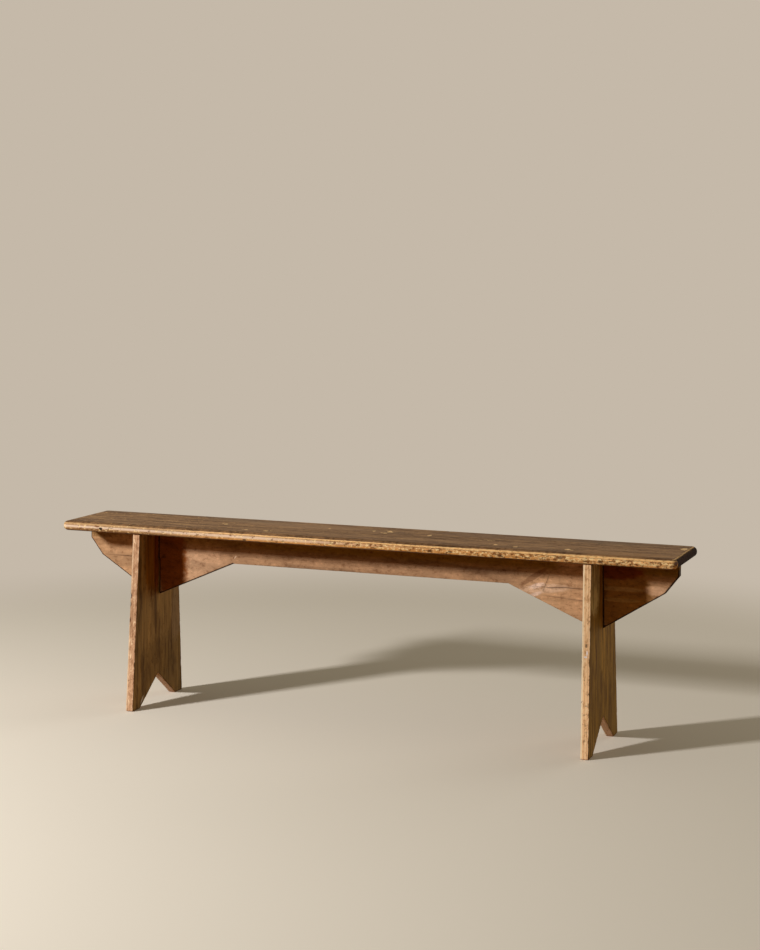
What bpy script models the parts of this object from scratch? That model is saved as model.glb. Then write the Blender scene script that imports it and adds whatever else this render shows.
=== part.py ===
"""Farmhouse bench: a round-edged seat plank, two notched board legs and one shaped apron lapped with them.

Metres, +Z up. The origin is on the floor under the middle of the seat, with +X along it and +Y to its back.
"""

import math

import bmesh
import bpy
from mathutils import Matrix, Vector

# Seat plank
BENCH_HEIGHT = 0.465
SEAT_LENGTH = 1.560
SEAT_WIDTH = 0.222
SEAT_THICKNESS = 0.024
SEAT_EDGE_FLAT = 0.001
SEAT_CORNER_EASE = 0.003
SEAT_CORNER_STEPS = 6
SEAT_EDGE_STEPS = 6

# Board legs, wider at the floor than under the seat and splayed a little towards the ends
LEG_THICKNESS = 0.019
LEG_INSET = 0.206
LEG_SPLAY = 0.009
LEG_SIDE_INSET = 0.012
LEG_FLARE = 0.032
FOOT_WIDTH = 0.038
FOOT_NOTCH_HEIGHT = 0.071
LEG_SLOT_DEPTH = 0.075

# Apron, a deep board with a long arch in the middle and a point at each leg
APRON_THICKNESS = 0.020
APRON_OFFSET = 0.010
APRON_INSET = 0.019
APRON_RAIL_DEPTH = 0.075
APRON_POINT_DEPTH = 0.170
APRON_ARCH_SLOPE_LENGTH = 0.220
APRON_END_DEPTH = 0.032
APRON_END_SLOPE_LENGTH = 0.032
APRON_END_SLOPE_DEPTH = 0.042

# Cut nails, set a little below the surface of the seat
NAIL_LENGTH = 0.062
NAIL_THICKNESS = 0.0028
NAIL_SHANK_WIDTH = 0.0050
NAIL_POINT_WIDTH = 0.0018
NAIL_POINT_LENGTH = 0.004
NAIL_HEAD_LENGTH = 0.0075
NAIL_HEAD_WIDTH = 0.0045
NAIL_HEAD_THICKNESS = 0.0018
NAIL_HEAD_CHAMFER = 0.0005
NAIL_SET = 0.0010
LEG_NAIL_OFFSETS = (0.034, 0.076)
MIDDLE_NAIL_COUNT = 3
APRON_END_NAIL_INSET = 0.075

# Fits and softened edges
JOINT_CLEARANCE = 0.0003
BOARD_EDGE_ROUNDING = 0.0012
BOARD_EDGE_STEPS = 2
CUTTER_REACH = 0.010
SMOOTH_ANGLE = math.radians(32)

# Heights and places that follow from the sizes above
SEAT_UNDERSIDE = BENCH_HEIGHT - SEAT_THICKNESS
FRAME_TOP = SEAT_UNDERSIDE - JOINT_CLEARANCE
LAP_HEIGHT = SEAT_UNDERSIDE - LEG_SLOT_DEPTH
POINT_HEIGHT = SEAT_UNDERSIDE - APRON_POINT_DEPTH
LEG_TOP_WIDTH = SEAT_WIDTH - 2 * LEG_SIDE_INSET
LEG_FOOT_WIDTH = LEG_TOP_WIDTH + 2 * LEG_FLARE
FOOT_NOTCH_WIDTH = LEG_FOOT_WIDTH - 2 * FOOT_WIDTH
APRON_LENGTH = SEAT_LENGTH - 2 * APRON_INSET
LEG_SIDES = {"left_leg": -1, "right_leg": 1}


def leg_reach(height):
    """How far the middle of a splayed leg is from the middle of the bench at a height."""
    return SEAT_LENGTH / 2 - LEG_INSET + LEG_SPLAY * (1 - height / SEAT_UNDERSIDE)


def leg_lean(side):
    """The slant of a splayed leg, which keeps its ends level. A leg on the +X side leans in as it rises."""
    lean = Matrix.Identity(4)
    lean[0][2] = -side * LEG_SPLAY / SEAT_UNDERSIDE
    return lean


def clear_scene():
    """Removes what the scene holds."""
    for obj in list(bpy.data.objects):
        bpy.data.objects.remove(obj, do_unlink=True)


def finish_material(obj, colour, roughness, metallic=0.0):
    """Gives the piece its own plain material."""
    material = bpy.data.materials.new(obj.name + "_finish")
    material.use_nodes = True
    shader = material.node_tree.nodes["Principled BSDF"]
    shader.inputs["Base Color"].default_value = (*colour, 1.0)
    shader.inputs["Roughness"].default_value = roughness
    shader.inputs["Metallic"].default_value = metallic
    obj.data.materials.append(material)


def new_object(name, bm, location, parent=None):
    """Turns the built mesh into a named object with outward faces."""
    bmesh.ops.recalc_face_normals(bm, faces=bm.faces)
    mesh = bpy.data.meshes.new(name)
    bm.to_mesh(mesh)
    bm.free()
    mesh.shade_smooth()
    mesh.set_sharp_from_angle(angle=SMOOTH_ANGLE)
    obj = bpy.data.objects.new(name, mesh)
    obj.location = location
    obj.parent = parent
    bpy.context.collection.objects.link(obj)
    return obj


def extrude_outline(points, thickness):
    """A flat outline of points, drawn out by the thickness, with its middle plane through the points."""
    normal = (points[1] - points[0]).cross(points[2] - points[1]).normalized()
    bm = bmesh.new()
    corners = [bm.verts.new(point - normal * thickness / 2) for point in points]
    face = bm.faces.new(corners)
    drawn = bmesh.ops.extrude_face_region(bm, geom=[face])
    moved = [item for item in drawn["geom"] if isinstance(item, bmesh.types.BMVert)]
    bmesh.ops.translate(bm, verts=moved, vec=normal * thickness)
    bmesh.ops.recalc_face_normals(bm, faces=bm.faces)
    return bm


def round_edges(bm, edges, width, steps):
    """Rounds the given edges."""
    bmesh.ops.bevel(
        bm,
        geom=edges,
        offset=width,
        offset_type="OFFSET",
        segments=steps,
        profile=0.5,
        affect="EDGES",
        clamp_overlap=True,
    )


def cut(obj, cutter, name):
    """Cuts one piece with a hidden helper."""
    modifier = obj.modifiers.new(name, "BOOLEAN")
    modifier.operation = "DIFFERENCE"
    modifier.solver = "EXACT"
    modifier.object = cutter


def hide_helper(obj):
    """Keeps a cutter out of the finished bench."""
    obj.hide_render = True
    obj.display_type = "WIRE"


def box_cutter(name, size, centre, slant, parent):
    """A slanted box for a cutter, of a given size about a given centre."""
    bm = bmesh.new()
    bmesh.ops.create_cube(bm, size=1.0, matrix=slant @ Matrix.Diagonal((*size, 1.0)))
    cutter = new_object(name, bm, centre, parent)
    hide_helper(cutter)
    return cutter


def rounded_rectangle(length, width, radius, steps):
    """The plan of the seat, with an arc at each corner."""
    points = []
    for quarter, (side_x, side_y) in enumerate(((1, 1), (-1, 1), (-1, -1), (1, -1))):
        centre = Vector((side_x * (length / 2 - radius), side_y * (width / 2 - radius), 0))
        for step in range(steps + 1):
            angle = math.pi / 2 * (quarter + step / steps)
            points.append(centre + radius * Vector((math.cos(angle), math.sin(angle), 0)))
    return points


def make_seat(parent):
    """The seat plank, with a full round along its edges and ends."""
    rounding = (SEAT_THICKNESS - SEAT_EDGE_FLAT) / 2
    plan = rounded_rectangle(SEAT_LENGTH, SEAT_WIDTH, rounding + SEAT_CORNER_EASE, SEAT_CORNER_STEPS)
    bm = extrude_outline(plan, SEAT_THICKNESS)
    rims = [edge for edge in bm.edges if abs(edge.verts[0].co.z - edge.verts[1].co.z) < JOINT_CLEARANCE]
    round_edges(bm, rims, rounding, SEAT_EDGE_STEPS)
    middle = (0, 0, BENCH_HEIGHT - SEAT_THICKNESS / 2)
    seat = new_object("seat_board", bm, middle, parent)
    finish_material(seat, (0.185, 0.110, 0.058), 0.55)
    return seat


def leg_outline():
    """The leg seen along the bench: flared sides, a V notch at the floor and a slot down from the top."""
    slot = APRON_THICKNESS / 2 + JOINT_CLEARANCE
    return [
        Vector((0, APRON_OFFSET + slot, LAP_HEIGHT)),
        Vector((0, APRON_OFFSET + slot, FRAME_TOP)),
        Vector((0, LEG_TOP_WIDTH / 2, FRAME_TOP)),
        Vector((0, LEG_FOOT_WIDTH / 2, 0)),
        Vector((0, FOOT_NOTCH_WIDTH / 2, 0)),
        Vector((0, 0, FOOT_NOTCH_HEIGHT)),
        Vector((0, -FOOT_NOTCH_WIDTH / 2, 0)),
        Vector((0, -LEG_FOOT_WIDTH / 2, 0)),
        Vector((0, -LEG_TOP_WIDTH / 2, FRAME_TOP)),
        Vector((0, APRON_OFFSET - slot, FRAME_TOP)),
        Vector((0, APRON_OFFSET - slot, LAP_HEIGHT)),
    ]


def make_leg(name, side, parent):
    """One splayed leg board with its worn outer arrises."""
    bm = extrude_outline(leg_outline(), LEG_THICKNESS)
    slot_reach = APRON_THICKNESS / 2 + 2 * JOINT_CLEARANCE
    worn = []
    for edge in bm.edges:
        along = edge.verts[0].co - edge.verts[1].co
        middle = (edge.verts[0].co + edge.verts[1].co) / 2
        is_arris = abs(along.x) < JOINT_CLEARANCE
        is_top = middle.z > FRAME_TOP - JOINT_CLEARANCE
        is_slot = abs(middle.y - APRON_OFFSET) < slot_reach and middle.z > LAP_HEIGHT - JOINT_CLEARANCE
        if is_arris and not is_top and not is_slot:
            worn.append(edge)
    round_edges(bm, worn, BOARD_EDGE_ROUNDING, BOARD_EDGE_STEPS)
    bmesh.ops.transform(bm, matrix=leg_lean(side), verts=bm.verts)
    leg = new_object(name, bm, (side * leg_reach(0), 0, 0), parent)
    finish_material(leg, (0.300, 0.195, 0.105), 0.70)
    return leg


def apron_outline():
    """The apron from the front: a square end, two slopes down to a point at the leg, then up to the arch."""
    end = APRON_LENGTH / 2
    rail = SEAT_UNDERSIDE - APRON_RAIL_DEPTH
    corner = SEAT_UNDERSIDE - APRON_END_DEPTH
    point_reach = leg_reach(POINT_HEIGHT)
    half = [
        Vector((end, 0, FRAME_TOP)),
        Vector((end, 0, corner)),
        Vector((end - APRON_END_SLOPE_LENGTH, 0, corner - APRON_END_SLOPE_DEPTH)),
        Vector((point_reach, 0, POINT_HEIGHT)),
        Vector((point_reach - APRON_ARCH_SLOPE_LENGTH, 0, rail)),
    ]
    mirrored = [Vector((-point.x, 0, point.z)) for point in reversed(half)]
    return half + mirrored


def make_apron(parent):
    """The apron, with a slot up from each point that straddles the leg."""
    bm = extrude_outline(apron_outline(), APRON_THICKNESS)
    worn = []
    for edge in bm.edges:
        along = edge.verts[0].co - edge.verts[1].co
        middle = (edge.verts[0].co + edge.verts[1].co) / 2
        if abs(along.y) < JOINT_CLEARANCE and middle.z < FRAME_TOP - JOINT_CLEARANCE:
            worn.append(edge)
    round_edges(bm, worn, BOARD_EDGE_ROUNDING, BOARD_EDGE_STEPS)
    apron = new_object("apron", bm, (0, APRON_OFFSET, 0), parent)
    slot_width = LEG_THICKNESS + 2 * JOINT_CLEARANCE
    slot_roof = LAP_HEIGHT + JOINT_CLEARANCE
    slot_foot = POINT_HEIGHT - CUTTER_REACH
    slot_middle = (slot_roof + slot_foot) / 2
    size = (slot_width, APRON_THICKNESS + 2 * CUTTER_REACH, slot_roof - slot_foot)
    for name, side in LEG_SIDES.items():
        centre = (side * leg_reach(slot_middle), APRON_OFFSET, slot_middle)
        slot = box_cutter("slot_for_" + name, size, centre, leg_lean(side), parent)
        cut(apron, slot, "slot for " + name)
    finish_material(apron, (0.340, 0.185, 0.105), 0.65)
    return apron


def nail_sections(spare, lift):
    """Half sizes of the nail from its head down: a height, along the bench and across it."""
    head_x = NAIL_HEAD_LENGTH / 2 + spare
    head_y = NAIL_HEAD_WIDTH / 2 + spare
    shank_y = NAIL_THICKNESS / 2 + spare
    under_head = -NAIL_HEAD_THICKNESS - spare
    if lift:
        head = [(lift, head_x, head_y)]
    else:
        head = [
            (0.0, head_x - NAIL_HEAD_CHAMFER, head_y - NAIL_HEAD_CHAMFER),
            (-NAIL_HEAD_CHAMFER, head_x, head_y),
        ]
    shank = [
        (under_head, head_x, head_y),
        (under_head, NAIL_SHANK_WIDTH / 2 + spare, shank_y),
        (NAIL_POINT_LENGTH - NAIL_LENGTH, NAIL_POINT_WIDTH / 2 + spare, shank_y),
        (-NAIL_LENGTH - spare, NAIL_POINT_WIDTH / 4 + spare, NAIL_THICKNESS / 4 + spare),
    ]
    return head + shank


def add_nail(bm, place, spare=0.0, lift=0.0):
    """Adds one wedge-shaped nail, or with spare room the hole that it needs."""
    rings = []
    for height, half_x, half_y in nail_sections(spare, lift):
        corners = [(half_x, half_y), (-half_x, half_y), (-half_x, -half_y), (half_x, -half_y)]
        rings.append([bm.verts.new(place + Vector((x, y, height))) for x, y in corners])
    for upper, lower in zip(rings, rings[1:]):
        for index in range(len(upper)):
            after = (index + 1) % len(upper)
            bm.faces.new((upper[index], upper[after], lower[after], lower[index]))
    bm.faces.new(rings[0])
    bm.faces.new(list(reversed(rings[-1])))


def make_nail_mesh():
    """The mesh that all the nails share, with its origin on the head."""
    bm = bmesh.new()
    add_nail(bm, Vector((0, 0, 0)))
    pattern = new_object("nail_pattern", bm, (0, 0, 0))
    finish_material(pattern, (0.055, 0.040, 0.032), 0.60, 0.80)
    mesh = pattern.data
    bpy.data.objects.remove(pattern)
    return mesh


def make_nails(group, places, mesh, boards, parent):
    """The nails of one joint, and the holes that they fill in the two boards they join."""
    holes = bmesh.new()
    for number, (x, y) in enumerate(places, start=1):
        head = Vector((x, y, BENCH_HEIGHT - NAIL_SET))
        nail = bpy.data.objects.new(f"nail_{group}_{number}", mesh)
        nail.location = head
        nail.parent = parent
        bpy.context.collection.objects.link(nail)
        add_nail(holes, head, spare=JOINT_CLEARANCE, lift=NAIL_SET + CUTTER_REACH)
    drill = new_object("holes_" + group, holes, (0, 0, 0), parent)
    hide_helper(drill)
    for board in boards:
        cut(board, drill, "nail holes " + group)


def apron_nail_places():
    """Nails at an even spacing between the legs, and one near each end of the apron."""
    reach = leg_reach(SEAT_UNDERSIDE)
    spacing = 2 * reach / (MIDDLE_NAIL_COUNT + 1)
    places = [-reach + spacing * (number + 1) for number in range(MIDDLE_NAIL_COUNT)]
    end = APRON_LENGTH / 2 - APRON_END_NAIL_INSET
    return [(x, APRON_OFFSET) for x in (-end, *places, end)]


def leg_nail_places(side):
    """Nails in front of the apron and behind it, in the top of one leg."""
    place = side * leg_reach(SEAT_UNDERSIDE)
    return [(place, APRON_OFFSET + facing * offset) for facing in (-1, 1) for offset in LEG_NAIL_OFFSETS]


def build_bench():
    """Makes and places every piece."""
    clear_scene()
    bench = bpy.data.objects.new("bench", None)
    bpy.context.collection.objects.link(bench)
    seat = make_seat(bench)
    apron = make_apron(bench)
    nail_mesh = make_nail_mesh()
    for name, side in LEG_SIDES.items():
        leg = make_leg(name, side, bench)
        make_nails(name, leg_nail_places(side), nail_mesh, [seat, leg], bench)
    make_nails("apron", apron_nail_places(), nail_mesh, [seat, apron], bench)


build_bench()
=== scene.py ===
"""Farmhouse bench: worn boards and their finish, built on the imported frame.

Metres, +Z up. +X runs along the seat to its right end, +Y points to its back, and the front is -Y.
"""

import math
from collections import namedtuple
from functools import cached_property

import bpy
import numpy as np
from mathutils import Euler, Matrix, Quaternion, Vector, geometry, kdtree, noise


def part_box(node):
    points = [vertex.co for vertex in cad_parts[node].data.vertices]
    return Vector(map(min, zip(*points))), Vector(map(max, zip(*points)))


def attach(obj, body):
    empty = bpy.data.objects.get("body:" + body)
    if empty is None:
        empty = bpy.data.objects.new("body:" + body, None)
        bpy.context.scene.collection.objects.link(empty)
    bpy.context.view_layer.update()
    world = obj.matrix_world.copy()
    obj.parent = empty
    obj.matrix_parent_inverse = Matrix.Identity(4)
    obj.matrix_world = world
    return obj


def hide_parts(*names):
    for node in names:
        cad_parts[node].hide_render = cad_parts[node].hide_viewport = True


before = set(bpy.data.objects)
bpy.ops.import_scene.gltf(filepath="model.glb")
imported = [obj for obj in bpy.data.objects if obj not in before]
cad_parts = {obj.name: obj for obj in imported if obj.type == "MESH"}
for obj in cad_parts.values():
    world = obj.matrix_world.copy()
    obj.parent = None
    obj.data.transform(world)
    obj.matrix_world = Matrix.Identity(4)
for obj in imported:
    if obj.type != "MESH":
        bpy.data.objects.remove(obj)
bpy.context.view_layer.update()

# Places that the frame gives
SEAT_LOW, SEAT_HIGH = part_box("seat_board")
APRON_LOW, APRON_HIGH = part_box("apron")
LEG_BOXES = {name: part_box(name) for name in ("left_leg", "right_leg")}
NAILS = sorted(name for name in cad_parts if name.startswith("nail_"))
LEG_SIDES = {"left_leg": -1, "right_leg": 1}
SEAT_THICKNESS = SEAT_HIGH.z - SEAT_LOW.z
APRON_THICKNESS = APRON_HIGH.y - APRON_LOW.y
APRON_MIDDLE = (APRON_LOW.y + APRON_HIGH.y) / 2

# Outlines of the boards, as in the solids
SEAT_CORNER_RADIUS = 0.0145
SEAT_EDGE_FLAT = 0.001
LEG_THICKNESS = 0.019
LEG_SPLAY = 0.009
LEG_TOP_WIDTH = 0.198
FOOT_NOTCH_WIDTH = 0.186
FOOT_NOTCH_HEIGHT = 0.071
LEG_SLOT_DEPTH = 0.075
APRON_RAIL_DEPTH = 0.075
APRON_POINT_DEPTH = 0.17
APRON_ARCH_SLOPE_LENGTH = 0.22
APRON_END_DEPTH = 0.032
APRON_END_SLOPE_LENGTH = 0.032
APRON_END_SLOPE_DEPTH = 0.042
LAP_HEIGHT = SEAT_LOW.z - LEG_SLOT_DEPTH
POINT_HEIGHT = SEAT_LOW.z - APRON_POINT_DEPTH
FOOT_REACH = LEG_BOXES["right_leg"][1].x - LEG_THICKNESS / 2
LEAN = LEG_SPLAY / SEAT_LOW.z
LAP_GAP = 0.0003

# The inner side of the apron's slots, wider than in the solids
LOOSE_SLOT_GAP = 0.0022

# Softened corners and edges
TOOL_CORNER = 0.0006
WORN_CORNER = 0.003
BOARD_ARRIS = 0.0012
LAP_ARRIS = 0.8 * TOOL_CORNER
APRON_CHIPPED = 0.003
LEG_CHIPPED = {1: 0.006, -1: 0.002}
SEAT_UNEVENNESS = 0.0003
LEG_UNEVENNESS = 0.0004
APRON_UNEVENNESS = 0.0003
FACE_UNEVENNESS_SHARE = 0.35
EDGE_RAGGEDNESS = 0.35
CHIP_THRESHOLD = 0.22

# Density of the meshes
SEAT_EDGE_SPACING = 0.0025
BOARD_EDGE_SPACING = 0.003
FACE_SPACING = 0.005
ARC_ANGLE = math.radians(15)
ARRIS_STEPS = 4
ROUND_STEPS = 7
SEAT_SIDE_ROWS = 2
LEG_SIDE_ROWS = 7
APRON_SIDE_ROWS = 4
SPLIT_SPACING = 0.0015
DENSE_GAP = 0.0004
GRID_GAP = 0.0025
OUTLINE_GAP = 0.0008
SHARP_ANGLE = math.radians(40)

MARK_HEIGHTS = (0.006, 0.012)
MARK_GRID_REACH = 0.75
MARK_GRID_FINEST = 0.0005
MARK_REACH = 1.15
MARK_SOFTNESS = 0.45
MARK_RAGGEDNESS = 0.35

Mark = namedtuple("Mark", "u v w length width depth bare dark")
Split = namedtuple("Split", "points side width depth")

# Dents of the boards' edges: the place on the board's own axes, the size, the bare wood and the dirt
LEG_MARKS = {
    "left_leg": [
        Mark(-0.11, 0.2876, -0.007, 0.006, 0.012, 0.0012, 0.0, 0.0),
        Mark(-0.111, 0.2675, -0.0072, 0.006, 0.009, 0.001, 0.0, 0.0),
        Mark(-0.1155, 0.2274, -0.0065, 0.005, 0.008, 0.001, 0.0, 0.0),
    ],
    "right_leg": [
        Mark(-0.1145, 0.258, 0.0006, 0.006, 0.007, 0.0012, 0.0, 0.4),
        Mark(-0.123, 0.122, 0.003, 0.006, 0.005, 0.001, 0.0, 0.6),
        Mark(-0.1245, 0.101, -0.002, 0.006, 0.004, 0.001, 0.0, 0.6),
        Mark(-0.126, 0.078, 0.002, 0.006, 0.005, 0.0012, 0.0, 0.6),
        Mark(-0.127, 0.062, 0.004, 0.006, 0.004, 0.001, 0.0, 0.6),
        Mark(-0.1285, 0.043, 0.000, 0.006, 0.005, 0.0012, 0.0, 0.6),
    ],
}
SEAT_EDGE_MARKS = [
    Mark(0.175, 0.104, 0.006, 0.01, 0.012, 0.0022, 1.0, 0.0),
    Mark(-0.776, 0.074, 0.008, 0.009, 0.07, 0.0018, 1.0, 0.0),
    Mark(-0.668, -0.109, -0.004, 0.01, 0.008, 0.0018, 0.0, 1.0),
]
LEG_SPLITS = {
    "left_leg": [],
    "right_leg": [Split([(-0.004, 0.279), (-0.001, 0.25), (0.002, 0.228)], 1, 0.001, 0.002)],
}


def add_object(name, data):
    """A new object of the scene."""
    made = bpy.data.objects.new(name, data)
    bpy.context.scene.collection.objects.link(made)
    return made


def leg_reach(height):
    """How far a splayed leg's middle is from the bench's middle at a height."""
    return FOOT_REACH - LEAN * height


def rounded(corners, spacing):
    """A closed outline through corners (u, v, radius), with arcs, its points at most the spacing apart."""
    bends = []
    for index, (u, v, radius) in enumerate(corners):
        corner = np.array((u, v))
        back = np.array(corners[index - 1][:2]) - corner
        ahead = np.array(corners[(index + 1) % len(corners)][:2]) - corner
        back /= np.linalg.norm(back)
        ahead /= np.linalg.norm(ahead)
        turn = math.pi - math.acos(np.clip(back @ ahead, -1, 1))
        reach = radius * math.tan(turn / 2)
        middle = corner + (back + ahead) * radius / math.sin(turn)
        first = corner + back * reach - middle
        last = corner + ahead * reach - middle
        steps = max(2, round(turn / ARC_ANGLE))
        for step in range(steps + 1):
            share = step / steps
            arm = math.sin((1 - share) * turn) * first + math.sin(share * turn) * last
            bends.append(middle + arm / math.sin(turn))
    points = []
    for here, there in zip(bends, bends[1:] + bends[:1]):
        pieces = max(1, math.ceil(np.linalg.norm(there - here) / spacing))
        points += [here + (there - here) * step / pieces for step in range(pieces)]
    return np.array(points)


def inward_normals(outline):
    """Unit normals that point into an outline that runs anticlockwise."""
    along = np.roll(outline, -1, axis=0) - np.roll(outline, 1, axis=0)
    along /= np.linalg.norm(along, axis=1, keepdims=True)
    return np.stack((-along[:, 1], along[:, 0]), axis=1)


def inside(points, loop):
    """Which of the points lie inside a closed loop."""
    within = np.zeros(len(points), bool)
    for start, end in zip(loop, np.roll(loop, -1, axis=0)):
        crosses = (start[1] > points[:, 1]) != (end[1] > points[:, 1])
        rise = end[1] - start[1]
        if rise:
            reach = start[0] + (points[:, 1] - start[1]) * (end[0] - start[0]) / rise
            within ^= crosses & (points[:, 0] < reach)
    return within


def nearest_distance(points, others):
    """How far each point is from the nearest of the others."""
    tree = kdtree.KDTree(len(others))
    for index, (u, v) in enumerate(others):
        tree.insert((u, v, 0), index)
    tree.balance()
    return np.array([tree.find((u, v, 0))[2] for u, v in points])


def wander(points, scale, shift=0.0):
    """Smooth noise from about -1 to 1 at each point."""
    offset = Vector((shift, -shift, 2 * shift))
    return np.array([noise.noise(Vector(point) * scale + offset) for point in points])


def staggered(low, high, spacing):
    """Points of a triangular grid over a rectangle."""
    rows = np.arange(low[1], high[1], spacing * math.sqrt(3) / 2)
    points = []
    for number, v in enumerate(rows):
        shift = spacing / 2 * (number % 2)
        points += [(u, v) for u in np.arange(low[0] + shift, high[0], spacing)]
    return np.array(points)


def mark_points(mark):
    """The dense points that one mark needs."""
    reach = np.array((mark.length, mark.width)) * MARK_GRID_REACH
    spacing = max(min(reach) / 4, MARK_GRID_FINEST)
    centre = np.array((mark.u, mark.v))
    return staggered(centre - reach, centre + reach, spacing)


def split_points(split):
    """Rows of points along a split, on its floor, its rims and just outside."""
    rows = []
    for start, end in zip(split.points, split.points[1:]):
        start, end = np.array(start), np.array(end)
        length = np.linalg.norm(end - start)
        along = (end - start) / length
        across = np.array((-along[1], along[0])) * split.width
        for distance in np.arange(0, length, SPLIT_SPACING):
            middle = start + along * distance
            rows += [middle + across * share for share in (-1, -0.5, 0, 0.5, 1)]
    return np.array(rows)


def interior_points(loop, details):
    """A grid inside the loop, with the dense points of its details instead of the grid where they are."""
    grid = staggered(loop.min(0), loop.max(0), FACE_SPACING)
    chosen = np.empty((0, 2))
    for dense in details:
        if len(chosen):
            dense = dense[nearest_distance(dense, chosen) > DENSE_GAP]
        chosen = np.vstack((chosen, dense))
    if len(chosen):
        grid = grid[nearest_distance(grid, chosen) > GRID_GAP]
    points = np.vstack((grid, chosen))
    points = points[inside(points, loop)]
    return points[nearest_distance(points, loop) > OUTLINE_GAP]


def fill(loop, points):
    """Triangles through the points that fill the loop, as indices into loop and points together."""
    everything = [Vector(point) for point in np.vstack((loop, points))]
    made = geometry.delaunay_2d_cdt(everything, [], [list(range(len(loop)))], 1, 1e-7)
    origins = [kept[0] for kept in made[3]]
    return [[origins[corner] for corner in face] for face in made[2]]


def distance_to_line(points, line):
    """Each point's distance from a bent line, and how far along it the nearest place is, from 0 to 1."""
    best = np.full(len(points), np.inf)
    share = np.zeros(len(points))
    line = np.array(line)
    lengths = np.linalg.norm(np.diff(line, axis=0), axis=1)
    walked = 0.0
    for start, end, length in zip(line, line[1:], lengths):
        along = (end - start) / length
        reach = np.clip((points - start) @ along, 0, length)
        distance = np.linalg.norm(points - start - reach[:, None] * along, axis=1)
        nearer = distance < best
        best[nearer] = distance[nearer]
        share[nearer] = (walked + reach[nearer]) / lengths.sum()
        walked += length
    return best, share


def apply_details(points, marks, splits):
    """Depth, bare wood and dark stain that the marks and splits give each point (u, v, w)."""
    depth = np.zeros(len(points))
    bare = np.zeros(len(points))
    dark = np.zeros(len(points))
    for mark in marks:
        size = np.array((mark.length, mark.width, np.clip(mark.width, *MARK_HEIGHTS))) / 2
        near = np.where((np.abs(points - (mark.u, mark.v, mark.w)) < 1.6 * size).all(1))[0]
        if not len(near):
            continue
        offset = (points[near] - (mark.u, mark.v, mark.w)) / size
        distance = np.linalg.norm(offset, axis=1) + MARK_RAGGEDNESS * wander(points[near], 260, mark.u)
        amount = np.clip((MARK_REACH - distance) / MARK_SOFTNESS, 0, 1)
        amount = amount * amount * (3 - 2 * amount)
        depth[near] = np.maximum(depth[near], amount * mark.depth)
        bare[near] = np.maximum(bare[near], amount * mark.bare)
        dark[near] = np.maximum(dark[near], amount * mark.dark)
    for split in splits:
        on_side = np.where(points[:, 2] * split.side > 0)[0]
        distance, share = distance_to_line(points[on_side, :2], split.points)
        taper = np.clip((1 - share) * 3, 0.1, 1)
        amount = np.clip(1 - distance / (split.width / 2 * taper), 0, 1)
        depth[on_side] = np.maximum(depth[on_side], amount * split.depth * taper)
        dark[on_side] = np.maximum(dark[on_side], np.clip(1.3 - distance / (split.width * taper), 0, 1))
    return depth, bare, dark


def edge_section(thickness, radii, other_radii, steps, side_rows):
    """The rings of an edge from the +w face to the -w face: inset, w, and how far the surface has turned."""
    turns = np.linspace(0, math.pi / 2, steps + 1)
    top = thickness / 2
    rings = []
    for turn in turns:
        rings.append((radii * (1 - math.sin(turn)), top - radii * (1 - math.cos(turn)), turn))
    for row in range(1, side_rows):
        share = row / side_rows
        rings.append((0 * radii, (top - radii) * (1 - share) - (top - other_radii) * share, math.pi / 2))
    for turn in reversed(turns):
        inset = other_radii * (1 - math.sin(turn))
        rings.append((inset, other_radii * (1 - math.cos(turn)) - top, math.pi - turn))
    return rings


def ragged_radii(outline, corners, typical, chipped, seed):
    """An uneven radius for each point of an edge, with a few deeper chips, and small in tight corners."""
    places = np.column_stack((outline, outline[:, :1]))
    ragged = 1 + EDGE_RAGGEDNESS * wander(places, 40, seed)
    radii = typical * (ragged + EDGE_RAGGEDNESS * wander(places, 170, seed))
    radii += chipped * np.clip(wander(places, 75, seed + 5) - CHIP_THRESHOLD, 0, 1)
    for u, v, radius in corners:
        distance = np.linalg.norm(outline - (u, v), axis=1)
        radii = np.minimum(radii, 0.8 * radius + 0.5 * np.clip(distance - radius, 0, None))
    return radii


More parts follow.
